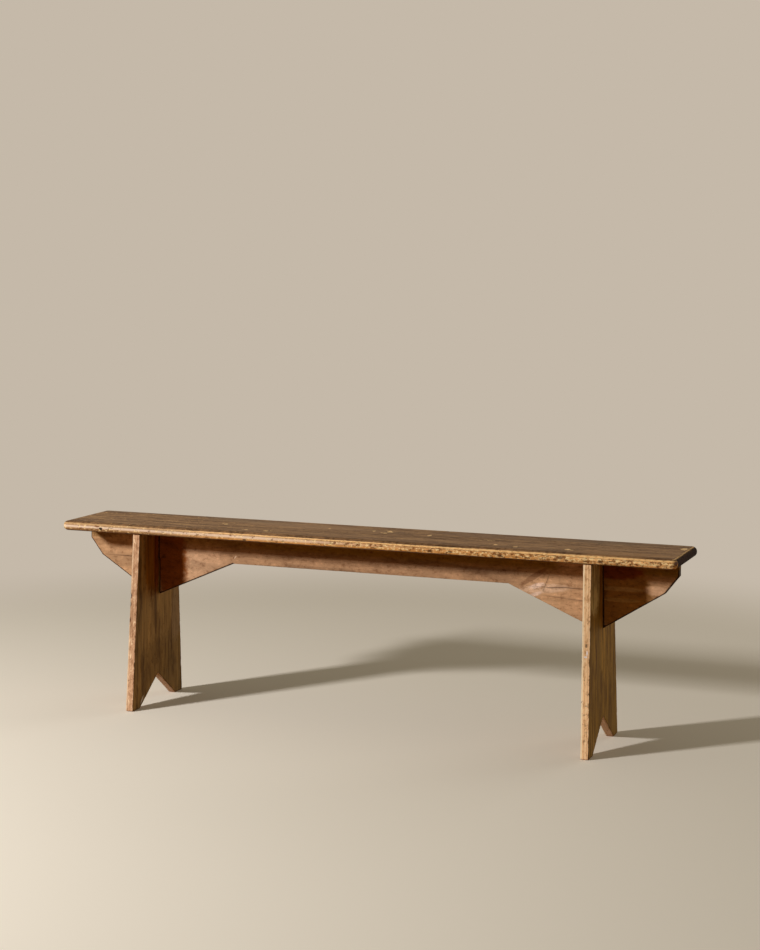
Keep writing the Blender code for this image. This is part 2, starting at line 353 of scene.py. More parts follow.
def make_board(name, axes, origin, outline, thickness, radii, steps, side_rows, unevenness, marks, splits):
    """One worn board, its outline in the plane of the first two axes and its thickness along the third."""
    normals = inward_normals(outline)
    count = len(outline)
    rings = edge_section(thickness, radii[0], radii[1], steps, side_rows)
    points, outward, from_edge = [], [], []
    for inset, w, turn in rings:
        ring = outline + normals * inset[:, None]
        points.append(np.column_stack((ring, w + np.zeros(count))))
        outward.append(np.column_stack((-normals * math.sin(turn), np.full(count, math.cos(turn)))))
        from_edge.append(inset + np.zeros(count))
    faces = []
    for ring in range(len(rings) - 1):
        for index in range(count):
            after = (index + 1) % count
            a, b = ring * count + index, ring * count + after
            faces.append((a, a + count, b + count, b))
    base = len(rings) * count
    for side, ring in ((1, 0), (-1, len(rings) - 1)):
        loop = points[ring][:, :2]
        details = [mark_points(mark) for mark in marks if mark.w * side > thickness / 4]
        details += [split_points(split) for split in splits if split.side == side]
        extra = interior_points(loop, details)
        for triangle in fill(loop, extra):
            corners = [ring * count + c if c < count else base + c - count for c in triangle]
            faces.append(corners if side > 0 else corners[::-1])
        points.append(np.column_stack((extra, np.full(len(extra), side * thickness / 2))))
        outward.append(np.tile((0.0, 0.0, float(side)), (len(extra), 1)))
        from_edge.append(nearest_distance(extra, outline))
        base += len(extra)
    points = np.vstack(points)
    outward = np.vstack(outward)
    depth, bare, dark = apply_details(points, marks, splits)
    uneven = unevenness * (1 + wander(points, 22, 3.1)) * 0.5
    uneven += unevenness * 0.5 * (1 + wander(points, 90, 8.7))
    sideways = np.linalg.norm(outward[:, :2], axis=1)
    depth += uneven * (FACE_UNEVENNESS_SHARE + (1 - FACE_UNEVENNESS_SHARE) * sideways)
    points -= outward * depth[:, None]
    world = np.array(origin) + points @ np.array(axes, float)
    mesh = bpy.data.meshes.new(name)
    mesh.from_pydata(world.tolist(), [], faces)
    for label, values in (("from_edge", np.concatenate(from_edge)), ("bare", bare), ("dark", dark)):
        layer = mesh.attributes.new(label, "FLOAT", "POINT")
        layer.data.foreach_set("value", values.astype(np.float32))
    mesh.shade_smooth()
    mesh.set_sharp_from_angle(angle=SHARP_ANGLE)
    return add_object(name, mesh)


def chip(x, y, length, width, depth=0.0004, bare=1.0, dark=0.0):
    """A chip in the finish of the seat's top, in metres from its middle."""
    return Mark(x, y, SEAT_THICKNESS / 2, length, width, depth, bare, dark)


def seat_marks():
    """Chips, nicks and sunk nail heads of the seat."""
    faint = (0.0003, 0.8)
    chips = (
        (-0.376, -0.001, 0.01, 0.012),
        (-0.386, 0.006, 0.006, 0.006, *faint),
        (-0.29, -0.065, 0.01, 0.007),
        (-0.301, -0.06, 0.005, 0.005, *faint),
        (-0.237, -0.064, 0.014, 0.009),
        (-0.226, -0.06, 0.006, 0.005, *faint),
        (-0.109, 0.029, 0.006, 0.008, *faint),
        (0.006, 0.033, 0.007, 0.013),
        (0.0425, 0.013, 0.01, 0.009),
        (0.032, 0.017, 0.006, 0.006, *faint),
        (0.044, 0.04, 0.01, 0.022, 0.0006),
        (0.052, 0.034, 0.006, 0.01, 0.0004),
        (0.154, 0.0185, 0.009, 0.018, 0.0005),
        (0.289, -0.002, 0.008, 0.005),
        (0.313, 0.002, 0.022, 0.003),
        (0.3, 0.008, 0.016, 0.003, *faint),
        (0.343, -0.0525, 0.009, 0.014),
        (0.395, -0.066, 0.01, 0.011),
        (0.516, -0.056, 0.014, 0.018, 0.0005),
        (0.527, -0.062, 0.008, 0.007),
        (0.76, 0.0495, 0.015, 0.026),
    )
    marks = [chip(*row) for row in chips]
    for name in NAILS:
        low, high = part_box(name)
        middle = (low + high) / 2
        sunk = SEAT_HIGH.z - high.z + 0.0001
        marks.append(chip(middle.x, middle.y, 0.009, 0.007, min(sunk, 0.0003), 0.0, 0.35))
    return marks + SEAT_EDGE_MARKS


def make_seat():
    """The seat plank, its edges rounded over and worn."""
    low, high = SEAT_LOW, SEAT_HIGH
    places = ((low.x, low.y), (high.x, low.y), (high.x, high.y), (low.x, high.y))
    corners = [(*place, SEAT_CORNER_RADIUS) for place in places]
    outline = rounded(corners, SEAT_EDGE_SPACING)
    radii = np.full(len(outline), (SEAT_THICKNESS - SEAT_EDGE_FLAT) / 2)
    splits = [Split([(0.176, 0.1), (0.168, 0.07), (0.15, 0.052)], 1, 0.0012, 0.001)]
    middle = (0, 0, SEAT_HIGH.z - SEAT_THICKNESS / 2)
    axes = ((1, 0, 0), (0, 1, 0), (0, 0, 1))
    return make_board(
        "seat", axes, middle, outline, SEAT_THICKNESS, (radii, radii), ROUND_STEPS, SEAT_SIDE_ROWS,
        SEAT_UNEVENNESS, seat_marks(), splits,
    )


def leg_corners():
    """The leg seen along the bench, anticlockwise in (y, z) from the back foot."""
    _, foot, top = LEG_BOXES["left_leg"][1]
    front, back = APRON_LOW.y - LAP_GAP, APRON_HIGH.y + LAP_GAP
    return [
        (FOOT_NOTCH_WIDTH / 2, 0.0, WORN_CORNER),
        (foot, 0.0, WORN_CORNER),
        (LEG_TOP_WIDTH / 2, top, TOOL_CORNER),
        (back, top, TOOL_CORNER),
        (back, LAP_HEIGHT, TOOL_CORNER),
        (front, LAP_HEIGHT, TOOL_CORNER),
        (front, top, TOOL_CORNER),
        (-LEG_TOP_WIDTH / 2, top, TOOL_CORNER),
        (-foot, 0.0, WORN_CORNER),
        (-FOOT_NOTCH_WIDTH / 2, 0.0, WORN_CORNER),
        (0.0, FOOT_NOTCH_HEIGHT, TOOL_CORNER),
    ]


def make_leg(name):
    """One board leg, with rougher edges near the floor."""
    low, high = LEG_BOXES[name]
    outline = rounded(leg_corners(), BOARD_EDGE_SPACING)
    near_apron = np.abs(outline[:, 0] - APRON_MIDDLE) < APRON_THICKNESS
    in_slot = near_apron & (outline[:, 1] > LAP_HEIGHT - BOARD_ARRIS)
    near_top = outline[:, 1] > high.z - 2 * BOARD_ARRIS
    both = []
    for side, chipped in LEG_CHIPPED.items():
        radii = ragged_radii(outline, leg_corners(), BOARD_ARRIS, chipped, low.x + side)
        radii[in_slot | near_top] = LAP_ARRIS
        both.append(radii)
    foot = (LEG_SIDES[name] * FOOT_REACH, 0, 0)
    axes = ((0, 1, 0), (0, 0, 1), (1, 0, 0))
    leg = make_board(
        name + "_board", axes, foot, outline, LEG_THICKNESS, both, ARRIS_STEPS, LEG_SIDE_ROWS,
        LEG_UNEVENNESS, LEG_MARKS[name], LEG_SPLITS[name],
    )
    lean = Matrix.Identity(4)
    lean[0][2] = -LEG_SIDES[name] * LEAN
    leg.data.transform(lean)
    return leg


def slot_foot(offset, corner):
    """Where a side of the slot, offset from the leg's middle, meets the slope from the point to a corner."""
    point = leg_reach(POINT_HEIGHT)
    slope = (corner[1] - POINT_HEIGHT) / (corner[0] - point)
    shift = offset / (1 + LEAN * slope)
    return point + shift, POINT_HEIGHT + slope * shift


def apron_corners():
    """The apron seen from the front, anticlockwise in (x, z), with a slot up from each point."""
    end = APRON_HIGH.x
    end_height = SEAT_LOW.z - APRON_END_DEPTH
    arch = (leg_reach(POINT_HEIGHT) - APRON_ARCH_SLOPE_LENGTH, SEAT_LOW.z - APRON_RAIL_DEPTH)
    shoulder = (end - APRON_END_SLOPE_LENGTH, end_height - APRON_END_SLOPE_DEPTH)
    inner = LEG_THICKNESS / 2 + LOOSE_SLOT_GAP
    outer = LEG_THICKNESS / 2 + LAP_GAP
    lap = leg_reach(LAP_HEIGHT)
    right = [
        (*arch, WORN_CORNER),
        (*slot_foot(-inner, arch), TOOL_CORNER),
        (lap - inner, LAP_HEIGHT, TOOL_CORNER),
        (lap + outer, LAP_HEIGHT, TOOL_CORNER),
        (*slot_foot(outer, shoulder), TOOL_CORNER),
        (*shoulder, WORN_CORNER),
        (end, end_height, WORN_CORNER),
        (end, APRON_HIGH.z, TOOL_CORNER),
    ]
    left = [(-x, z, radius) for x, z, radius in reversed(right)]
    return right + left


def make_apron():
    """The apron, one board through both legs."""
    outline = rounded(apron_corners(), BOARD_EDGE_SPACING)
    radii = ragged_radii(outline, apron_corners(), BOARD_ARRIS, APRON_CHIPPED, 5.0)
    from_leg = np.abs(np.abs(outline[:, 0]) - leg_reach(outline[:, 1]))
    near_slot = from_leg < LEG_THICKNESS / 2 + 2 * LOOSE_SLOT_GAP
    radii[near_slot | (outline[:, 1] > APRON_HIGH.z - 2 * BOARD_ARRIS)] = LAP_ARRIS
    lap = leg_reach(LAP_HEIGHT)
    splits = [
        Split([(-lap, 0.366), (-0.62, 0.3662), (-0.664, 0.3682), (-0.709, 0.367)], 1, 0.0009, 0.003),
        Split(
            [(lap, 0.366), (0.53, 0.3652), (0.498, 0.366), (0.462, 0.3634), (0.403, 0.364)], 1, 0.0009, 0.0026
        ),
        Split([(lap, 0.337), (0.51, 0.3392), (0.478, 0.342), (0.43, 0.346)], 1, 0.0005, 0.0006),
        Split([(0.4427, 0.355), (0.449, 0.372), (0.4587, 0.398)], 1, 0.0005, 0.0008),
    ]
    axes = ((1, 0, 0), (0, 0, 1), (0, -1, 0))
    return make_board(
        "apron_board", axes, (0, APRON_MIDDLE, 0), outline, APRON_THICKNESS, (radii, radii), ARRIS_STEPS,
        APRON_SIDE_ROWS, APRON_UNEVENNESS, (), splits,
    )


def tone(red, green, blue):
    """A colour given on the screen's 0 to 255 scale, as the linear colour that a shader takes."""
    shares = [value / 255 for value in (red, green, blue)]
    linear = [share / 12.92 if share <= 0.04045 else ((share + 0.055) / 1.055) ** 2.4 for share in shares]
    return (*linear, 1.0)


def spots_on(axis, place, depth, *rows):
    """Uneven spots on a face across an axis: the middle, size, strength, colour and turn of each."""
    spots = []
    for u, v, width, height, strength, colour, *turn in rows:
        centre, size, turns = [u, v], [width, height], [0.0, 0.0]
        centre.insert(axis, place)
        size.insert(axis, depth)
        turns.insert(axis, turn[0] if turn else 0.0)
        spots.append((centre, size, turns, strength, colour))
    return spots


# Spots of the finish, worn, stained or splashed with paint, and spots of painted shade where the seat and the
# legs shade the apron and the legs' faces
PAINT = (236, 230, 234)
DIRT = (58, 38, 24)
SEAT_EDGE_SPOTS = spots_on(
    1, -0.109, 0.02,
    (-0.668, 0.452, 0.006, 0.003, 0.95, (40, 26, 16)),
    (-0.273, 0.447, 0.006, 0.0028, 0.85, (66, 42, 24)),
    (0.203, 0.45, 0.007, 0.0036, 0.8, (84, 54, 30)),
    (0.252, 0.451, 0.006, 0.0032, 0.8, (84, 54, 30)),
    (0.3725, 0.449, 0.007, 0.0036, 0.8, (84, 54, 30)),
    (0.514, 0.4535, 0.008, 0.0036, 0.8, (76, 48, 28)),
    (0.606, 0.4505, 0.007, 0.0036, 0.75, (84, 54, 30)),
) + spots_on(1, -0.104, 0.007, (0.7765, 0.457, 0.0045, 0.0045, 0.85, (146, 112, 112)))
FILM_SPOTS = spots_on(
    2, 0.465, 0.02,
    (0.64, -0.075, 0.14, 0.04, 0.4, (180, 138, 94)),
    (-0.18, 0.045, 0.22, 0.04, 0.4, (178, 144, 112)),
    (-0.62, -0.063, 0.15, 0.018, 0.45, (132, 100, 70)),
    (0.28, 0.06, 0.17, 0.034, 0.5, (132, 106, 86)),
    (0.06, -0.075, 0.2, 0.016, 0.4, (134, 104, 78)),
)
LEG_FACE_SPOTS = {
    "left_leg": spots_on(
        0, 0.0095, 0.006,
        # Painted shadow of the seat on the top of the face
        (-0.03, 0.375, 0.055, 0.12, 0.95, (146, 95, 14)),
        # Painted shade in the corner by the apron
        (-0.012, 0.37, 0.016, 0.11, 0.88, (144, 72, 14)),
        (0.0, 0.105, 0.1, 0.07, 0.6, (140, 108, 54)),
        (0.092, 0.21, 0.03, 0.085, 0.6, (182, 154, 116)),
        (-0.1, 0.11, 0.016, 0.055, 0.55, (134, 104, 54)),
    ) + spots_on(0, 0.0095, 0.01, (-0.0825, 0.0205, 0.003, 0.015, 0.95, (255, 250, 240), -0.67)),
    "right_leg": spots_on(
        0, 0.0095, 0.006,
        (-0.072, 0.385, 0.06, 0.075, 0.95, (255, 236, 174)),
        # Painted shade in the corner by the apron
        (-0.012, 0.37, 0.02, 0.11, 0.8, (174, 118, 44)),
        (0.0, 0.095, 0.13, 0.075, 0.6, (156, 118, 42)),
        (-0.102, 0.165, 0.016, 0.1, 0.5, (140, 104, 44)),
        (0.06, 0.2, 0.055, 0.1, 0.5, (158, 122, 52)),
    ),
}
LEG_EDGE_SPOTS = {
    "left_leg": spots_on(1, -0.112, 0.02, (-0.0045, 0.235, 0.0055, 0.06, 0.55, (164, 124, 92))) + spots_on(
        1, -0.11, 0.02,
        (-0.008, 0.2876, 0.0034, 0.008, 0.85, (92, 54, 30)),
        (-0.0083, 0.2675, 0.003, 0.006, 0.85, (92, 54, 30)),
    ) + spots_on(1, -0.115, 0.02, (-0.0072, 0.2274, 0.0028, 0.006, 0.8, (104, 64, 36))),
    "right_leg": spots_on(
        1, -0.115, 0.02,
        (0.0027, 0.2408, 0.002, 0.0075, 0.95, PAINT),
        (-0.0004, 0.2323, 0.0052, 0.0028, 0.95, PAINT),
        (0.0006, 0.2578, 0.0026, 0.006, 0.75, DIRT),
    ),
}
APRON_SPOTS = spots_on(
    1, 0.0, 0.02,
    # Painted shade under the seat at the left end
    (-0.725, 0.425, 0.05, 0.016, 0.7, (124, 94, 50)),
    # Painted shadow of the left leg
    (-0.53, 0.365, 0.054, 0.13, 0.95, (142, 76, 14)),
    # Painted shadow of the right leg on the outer end
    (0.628, 0.365, 0.085, 0.12, 0.8, (172, 118, 38)),
    (0.63, 0.3715, 0.07, 0.0065, 0.6, (216, 178, 122)),
    (0.625, 0.346, 0.06, 0.006, 0.55, (210, 170, 106)),
    # Painted shade under the seat beside the right leg
    (0.615, 0.412, 0.08, 0.024, 0.85, (132, 54, 16)),
    (0.708, 0.373, 0.032, 0.014, 0.7, (232, 188, 150)),
    (0.445, 0.36, 0.075, 0.013, 0.5, (248, 216, 188), -0.1),
    (0.428, 0.366, 0.024, 0.007, 0.6, (244, 220, 206), -0.3),
    (0.419, 0.343, 0.026, 0.006, 0.65, (244, 220, 206), -0.4),
    (0.4195, 0.3865, 0.048, 0.008, 0.6, (126, 84, 54), -0.6),
    (0.428, 0.3285, 0.007, 0.0016, 0.7, (90, 58, 36), -0.5),
    (-0.3515, 0.383, 0.0016, 0.0065, 0.75, (240, 214, 188), 0.65),
    (-0.3565, 0.381, 0.0014, 0.006, 0.55, (104, 70, 44), 0.65),
    (-0.551, 0.373, 0.007, 0.006, 0.45, DIRT),
)
SPOT_EDGE = (1.0, 0.6)
SPOT_RAGGEDNESS = 0.5

# Heights on the rounded edge of the seat, from below, the third of them where a highlight is painted on
UNDERSIDE_EDGE = (0.442, 0.441)
LOWER_EDGE = (0.45, 0.4455)
SHEEN_HIGHLIGHT = (0.4514, 0.455)
SEAM = (0.4588, 0.46)
UPPER_LINE = (0.4608, 0.467)

# The grain of each leg, the tone of its right face with painted warm shade light, the pale and deep tones of
# its edge, and the strength of the painted highlight on its left arris
LEG_FINISHES = {
    "left_leg": (1.0, (168, 135, 80), (206, 166, 132), (180, 140, 108), 0.3),
    "right_leg": (2.0, (178, 139, 62), (253, 214, 168), (222, 180, 132), 0.95),
}
BOARD_GLOSS = 0.15
APRON_GLOSS = 0.12


class Surface:
    """A material or a world built one node at a time. Each call returns an output for the next."""

    def __init__(self, owner):
        owner.use_nodes = True
        self.owner = owner
        self.tree = owner.node_tree

    @cached_property
    def position(self):
        """The piece's own coordinates."""
        return self.add("TexCoord", {}, "Object")

    def put(self, value, socket):
        """Joins an output to a socket, or sets the socket's own value, a colour by its screen values."""
        if isinstance(value, bpy.types.NodeSocket):
            self.tree.links.new(value, socket)
        else:
            socket.default_value = tone(*value) if socket.type == "RGBA" else value

    def finish(self, colour, roughness, height, relief, gloss=0.5):
        """Puts the colour, the roughness, a relief of a given depth and the gloss on the shader."""
        inputs = self.tree.nodes["Principled BSDF"].inputs
        self.put(colour, inputs["Base Color"])
        self.put(roughness, inputs["Roughness"])
        inputs["Specular IOR Level"].default_value = gloss
        normal = self.add("Bump", {"Height": height, "Distance": relief}, "Normal")
        self.put(normal, inputs["Normal"])
        return self.owner

    def add(self, kind, inputs, output=0, **settings):
        """Adds a shader node with its settings and inputs."""
        node = self.tree.nodes.new("ShaderNode" + kind)
        for name, value in settings.items():
            setattr(node, name, value)
        for name, value in inputs.items():
            self.put(value, node.inputs[name])
        return node.outputs[output]

    def math(self, operation, *values):
        """One step of arithmetic."""
        return self.add("Math", dict(enumerate(values)), operation=operation)

    def scaled(self, value, factor):
        """A value times a factor."""
        return self.math("MULTIPLY", value, factor)

    def linear(self, value, factor, base):
        """A value times a factor, added to a base."""
        return self.math("MULTIPLY_ADD", value, factor, base)

    def rest(self, share):
        """What a share leaves of 1."""
        return self.math("SUBTRACT", 1.0, share)

    def seen_directly(self):
        """1 for what the camera sees directly, in gloss or through glass, and 0 for light that bounces."""
        rays = self.add("LightPath", {}).node.outputs
        seen = self.math("MAXIMUM", rays["Is Camera Ray"], rays["Is Glossy Ray"])
        return self.math("MAXIMUM", seen, rays["Is Transmission Ray"])

    def ramp(self, value, low, high):
        """How far a value is from low to high, eased, from 0 to 1."""
        inputs = {"Value": value, "From Min": low, "From Max": high}
        return self.add("MapRange", inputs, interpolation_type="SMOOTHSTEP")

    def band(self, value, low, high, soft):
        """1 from low to high, fading to 0 over a soft distance beyond both."""
        return self.scaled(self.ramp(value, low - soft, low), self.ramp(value, high + soft, high))

    def mix(self, share, first, second, blend="MIX"):
        """A colour between two, by a share from 0 to 1."""
        inputs = {0: share, 6: first, 7: second}
        return self.add("Mix", inputs, 2, data_type="RGBA", blend_type=blend)

    def multiply(self, share, first, second):
        """A colour darkened by another, by a share from 0 to 1."""
        return self.mix(share, first, second, "MULTIPLY")

    def brightened(self, colour, factor):
        """A colour times a factor."""
        return self.add("VectorMath", {0: colour, "Scale": factor}, operation="SCALE")

    def over(self, colour, value, share, shade):
        """A colour mixed with another by a share of a value."""
        return self.mix(self.scaled(value, share), colour, shade)

    def changing(self, value, colour, *changes):
        """A colour that changes with a value: where each change starts and is full, and its colour."""
        for start, full, shade in changes:
            colour = self.mix(self.ramp(value, start, full), colour, shade)
        return colour

    def tinted(self, colour, value, start, full, share, shade):
        """A colour mixed with another as a value goes from a start to where the share is full."""
        return self.over(colour, self.ramp(value, start, full), share, shade)

    def shaded(self, colour, value, start, full, share, shade):
        """A colour darkened by another in that way."""
        return self.multiply(self.scaled(self.ramp(value, start, full), share), colour, shade)

    def lightened(self, colour, value, start, full, gain):
        """A colour made brighter by a gain in that way."""
        return self.brightened(colour, self.linear(self.ramp(value, start, full), gain, 1.0))

    def parts(self, vector):
        """The three parts of a vector."""
        return self.add("SeparateXYZ", {0: vector}).node.outputs

    def joined(self, *parts):
        """A vector from its parts."""
        return self.add("CombineXYZ", dict(enumerate(parts)))

    def length(self, vector):
        """How long a vector is."""
        return self.add("VectorMath", {0: vector}, "Value", operation="LENGTH")

    def noise(self, scale, detail, roughness, place=(0, 0, 0), vector=None):
        """Noise from 0 to 1 with its own scale along each axis."""
        inputs = {"Vector": vector or self.position, "Scale": scale, "Location": place}
        stretched = self.add("Mapping", inputs)
        inputs = {"Vector": stretched, "Scale": 1.0, "Detail": detail, "Roughness": roughness}
        return self.add("TexNoise", inputs)

    def layer(self, name):
        """A value that the mesh carries."""
        return self.add("Attribute", {}, "Fac", attribute_name=name)

    def spotted(self, colour, spots):
        """A colour with uneven spots of other colours on it."""
        for centre, size, turns, strength, shade in spots:
            inputs = {"Vector": self.position, "Location": centre, "Rotation": turns, "Scale": size}
            local = self.add("Mapping", inputs, vector_type="TEXTURE")
            grain = self.noise((90, 90, 90), 3, 0.5, centre)
            wobble = self.linear(grain, SPOT_RAGGEDNESS, -SPOT_RAGGEDNESS / 2)
            distance = self.math("ADD", self.length(local), wobble)
            colour = self.tinted(colour, distance, *SPOT_EDGE, strength, shade)
        return colour


def grain_axes(wood, order):
    """A piece's coordinates in the order along the grain, across it and through the board."""
    outputs = wood.parts(wood.position)
    return wood.joined(*(outputs["XYZ".index(axis)] for axis in order))


def leg_axes(wood, leg):
    """Gives a leg its coordinates from its leaning middle, and returns them in the order of its grain."""
    x, y, z = wood.parts(wood.position)
    side = LEG_SIDES[leg]
    across = wood.math("ADD", wood.linear(z, side * LEAN, x), -side * FOOT_REACH)
    wood.position = wood.joined(across, y, z)
    return wood.joined(z, y, across)


def wood_figure(wood, grain, heart, ring_width, seed):
    """Growth rings, fibres and broad streaks of one board, each from 0 to 1."""
    place = (seed, seed * 0.7, seed * 1.3)
    bend = wood.noise((1.1, 7, 7), 3, 0.45, place, grain)
    parts = wood.parts(grain)
    across = wood.linear(bend, 0.03, wood.math("ADD", parts[1], -heart[0]))
    through = wood.math("ADD", parts[2], -heart[1])
    radius = wood.linear(bend, 0.018, wood.length(wood.joined(across, through)))
    turn = wood.math("FRACT", wood.math("DIVIDE", radius, ring_width))
    rings = wood.scaled(wood.ramp(turn, 0.35, 0.88), wood.ramp(turn, 1.0, 0.9))
    fibres = wood.noise((11, 520, 520), 3, 0.62, place, grain)
    streaks = wood.noise((2.4, 75, 75), 4, 0.6, place, grain)
    return rings, fibres, streaks


def figure_share(wood, figure):
    """How dark the figure of the wood is, from 0 to 1."""
    rings, fibres, streaks = figure
    share = wood.linear(rings, 0.4, wood.scaled(fibres, 0.45))
    return wood.ramp(wood.linear(streaks, 0.45, share), 0.15, 1.05)


def seat_film(wood, rings, x, y):
    """The dark finish of the seat's top: mottled, streaked along the grain, darkest behind the front edge."""
    lanes = wood.noise((1.8, 30, 30), 4, 0.6, (7, 2, 0))
    streaks = wood.noise((9, 125, 125), 4, 0.65, (1, 5, 0))
    hairlines = wood.noise((9, 430, 430), 3, 0.65, (2, 3, 0))
    mottle = wood.noise((20, 62, 62), 5, 0.72, (6, 2, 0))
    flecks = wood.noise((78, 86, 86), 3, 0.7, (4, 9, 0))
    grey = wood.noise((3, 18, 18), 3, 0.5, (3, 8, 0))
    near_front = wood.ramp(y, -0.078, -0.098)
    film = wood.changing(lanes, (142, 110, 80), (0.4, 0.6, (170, 134, 99)))
    film = wood.tinted(film, mottle, 0.5, 0.62, 0.65, (104, 79, 56))
    film = wood.tinted(film, mottle, 0.48, 0.37, 0.5, (198, 158, 113))
    film = wood.tinted(film, streaks, 0.52, 0.64, 0.6, (92, 68, 46))
    film = wood.tinted(film, streaks, 0.46, 0.35, 0.5, (206, 164, 116))
    film = wood.tinted(film, hairlines, 0.52, 0.7, 0.4, (98, 72, 50))
    film = wood.over(film, rings, 0.2, (114, 86, 60))
    dark_flecks = wood.linear(near_front, 0.07, flecks)
    film = wood.tinted(film, dark_flecks, 0.585, 0.64, 0.55, (72, 51, 34))
    tan_flecks = wood.linear(x, 0.03, flecks)
    tan_share = wood.linear(wood.ramp(x, 0.0, -0.5), 0.4, 0.35)
    film = wood.tinted(film, tan_flecks, 0.385, 0.335, tan_share, (230, 186, 130))
    grey = wood.scaled(wood.ramp(grey, 0.46, 0.62), wood.ramp(y, 0.0, 0.08))
    film = wood.over(film, grey, 0.55, (132, 112, 92))
    film = wood.multiply(near_front, film, (216, 208, 200))
    return wood.spotted(film, FILM_SPOTS), streaks, hairlines


def seat_tan(wood, share, x, z):
    """The bare rounded edge: a bright upper line, a thin seam, pale on the left and mottled on the right; a
    painted highlight on the left and painted bounce light below.
    """
    tan = wood.changing(
        x, (184, 148, 108),
        (-0.52, -0.36, (222, 180, 134)),
        (-0.15, 0.05, (218, 162, 100)),
        (0.42, 0.56, (242, 188, 124)),
    )
    tan = wood.brightened(tan, wood.linear(share, -0.35, 1.15))
    cloud = wood.noise((16, 46, 46), 4, 0.6, (4, 1, 2))
    tan = wood.shaded(tan, cloud, 0.5, 0.64, 0.7, (212, 200, 184))
    low = wood.ramp(z, *LOWER_EDGE)
    soiled = wood.scaled(low, wood.ramp(x, -0.4, -0.55))
    tan = wood.over(tan, soiled, 0.75, (146, 108, 66))
    # Painted bounce light: the lower part of the round, except at the far left, is tinted pale orange, less
    # towards the right end.
    low = wood.scaled(low, wood.ramp(x, -0.48, -0.32))
    low = wood.scaled(low, wood.linear(wood.ramp(x, 0.4, 0.55), -0.55, 0.85))
    tan = wood.mix(low, tan, (255, 192, 106))
    right = wood.ramp(x, -0.3, 0.25)
    # Painted highlight: a pale band along the middle of the round, fading out towards the right.
    painted_sheen = wood.scaled(wood.band(z, *SHEEN_HIGHLIGHT, 0.0014), wood.rest(right))
    tan = wood.over(tan, painted_sheen, 0.7, (238, 218, 200))

    pale = wood.noise((120, 190, 190), 3, 0.68, (9, 4, 6))
    pale = wood.linear(wood.ramp(x, 0.4, 0.6), 0.02, pale)
    tan = wood.tinted(tan, wood.linear(right, 0.06, pale), 0.575, 0.612, 0.88, (255, 230, 172))
    pits = wood.noise((105, 185, 185), 4, 0.7, (2, 7, 1))
    pits = wood.linear(wood.ramp(x, -0.25, 0.5), 0.074, pits)
    pits = wood.ramp(wood.linear(low, -0.02, pits), 0.59, 0.632)
    tan = wood.over(tan, pits, 0.88, (122, 74, 32))

    serrated = wood.noise((150, 90, 90), 3, 0.66, (5, 2, 8))
    lifted = wood.linear(serrated, 0.0042, z)
    lifted = wood.linear(wood.band(x, 0.15, 0.4, 0.1), 0.0008, lifted)
    seam = wood.scaled(wood.band(lifted, *SEAM, 0.0008), wood.linear(right, 0.4, 0.6))
    tan = wood.over(tan, seam, 0.6, (146, 96, 50))
    line_share = wood.linear(wood.ramp(serrated, 0.6, 0.5), 0.45, 0.45)
    line = wood.scaled(wood.band(lifted, *UPPER_LINE, 0.0006), line_share)
    bright = wood.changing(x, (198, 160, 112), (-0.5, -0.3, (248, 202, 138)))
    tan = wood.mix(line, tan, bright)
    return wood.spotted(tan, SEAT_EDGE_SPOTS), pits


